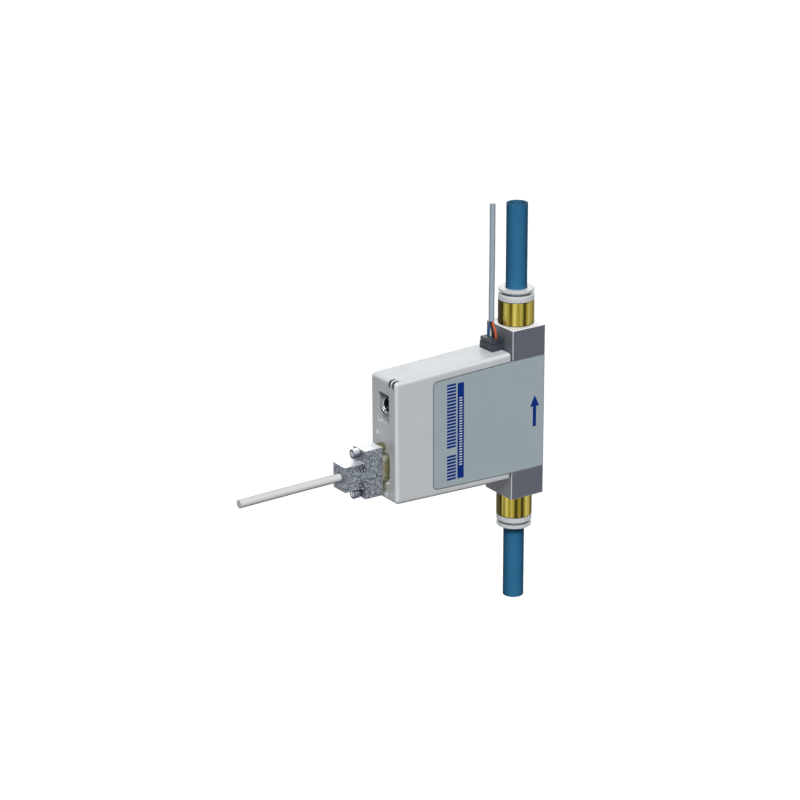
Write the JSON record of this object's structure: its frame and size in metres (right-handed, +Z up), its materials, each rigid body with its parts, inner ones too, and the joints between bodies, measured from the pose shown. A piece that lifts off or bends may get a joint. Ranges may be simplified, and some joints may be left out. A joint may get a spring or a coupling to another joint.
{
  "type": "air flow controller",
  "caption": "Flow controller for compressed air: upright metal block with push-in tube fittings above and below, and a slim moulded case in front.",
  "frame": {"origin": "centre of the metal block's flat back face, which goes against a panel", "axes": "+Z up along both tubes, +Y out of the back face, so the case and its connector point to -Y; the labelled side faces +X"},
  "size_m": [0.0265, 0.2046, 0.2503],
  "materials": {
    "block_metal": "dark anodised, satin",
    "case_plastic": "fine moulded texture",
    "label_film": "satin film",
    "guide_plastic": "smooth, dark blue",
    "bright_metal": "nickel plated",
    "black_plastic": "moulded",
    "chromate_metal": "yellow chromate",
    "hood_metal": "blasted grain",
    "steel": "plain",
    "white_jacket": "satin jacket",
    "grey_jacket": "satin jacket",
    "wire_blue": "satin",
    "wire_white": "satin",
    "wire_black": "satin",
    "wire_orange": "satin",
    "board_green": "solder resist",
    "white_plastic": "smooth moulded",
    "rubber": "matt",
    "coil_wrap": "taped winding",
    "brass": "turned, bright",
    "tube_blue": "satin extruded"
  },
  "bodies": {
    "base": {"flow_block": "block_metal", "case_cover": "case_plastic", "side_label": "label_film", "light_guide_left": "guide_plastic", "light_guide_right": "guide_plastic", "case_screw_upper": "steel", "case_screw_lower": "steel", "socket_shell": "bright_metal", "socket_insert": "black_plastic", "receptacle_shell": "chromate_metal", "receptacle_insert": "black_plastic", "jackpost_upper": "chromate_metal", "jackpost_lower": "chromate_metal", "plug_shell": "chromate_metal", "plug_insert": "black_plastic", "hood_left": "hood_metal", "hood_right": "hood_metal", "hood_screw_upper": "steel", "hood_screw_lower": "steel", "signal_cable": "white_jacket", "sensor_cable": "grey_jacket", "sensor_header": "black_plastic", "sensor_plug": "black_plastic", "wire_blue": "wire_blue", "wire_white": "wire_white", "wire_black": "wire_black", "wire_orange": "wire_orange", "chassis_plate": "steel", "chassis_screw_upper": "steel", "chassis_screw_lower": "steel", "main_board": "board_green", "board_spacer_front": "white_plastic", "board_spacer_rear": "white_plastic", "flow_sensor": "bright_metal", "sensor_seal_upper": "rubber", "sensor_seal_lower": "rubber", "bypass_element": "steel", "valve_seat": "bright_metal", "valve_seal": "rubber", "valve_guide": "steel", "valve_core": "steel", "valve_coil": "coil_wrap", "valve_spring": "steel", "upper_fitting_body": "brass", "upper_tube_seal": "rubber", "upper_chuck": "steel", "upper_guide_ring": "white_plastic", "upper_tube": "tube_blue", "lower_fitting_body": "brass", "lower_tube_seal": "rubber", "lower_chuck": "steel", "lower_guide_ring": "white_plastic", "lower_tube": "tube_blue"},
    "upper_collar": {"upper_release_collar": "white_plastic"},
    "lower_collar": {"lower_release_collar": "white_plastic"},
    "upper_jackscrew": {"jackscrew_upper": "bright_metal"},
    "lower_jackscrew": {"jackscrew_lower": "bright_metal"},
    "plunger": {"valve_plunger": "steel"}
  },
  "joints": [
    {"name": "upper_collar_press", "type": "slide", "parent": "base", "child": "upper_collar", "axis": [0, 0, -1], "range_m": [0, 0.0015], "stiffness_N_per_m": 600, "springref_m": -0.0005},
    {"name": "lower_collar_press", "type": "slide", "parent": "base", "child": "lower_collar", "axis": [0, 0, 1], "range_m": [0, 0.0015], "stiffness_N_per_m": 600, "springref_m": -0.0005},
    {"name": "upper_jackscrew_turn", "type": "hinge", "parent": "base", "child": "upper_jackscrew", "pos_m": [0, -0.125, -0.0047], "axis": [0, 1, 0], "continuous": true},
    {"name": "lower_jackscrew_turn", "type": "hinge", "parent": "base", "child": "lower_jackscrew", "pos_m": [0, -0.125, -0.0297], "axis": [0, 1, 0], "continuous": true},
    {"name": "plunger_travel", "type": "slide", "parent": "base", "child": "plunger", "axis": [0, -1, 0], "range_m": [0, 0.0012], "stiffness_N_per_m": 400, "springref_m": -0.002, "deforming": ["valve_spring"]}
  ]
}
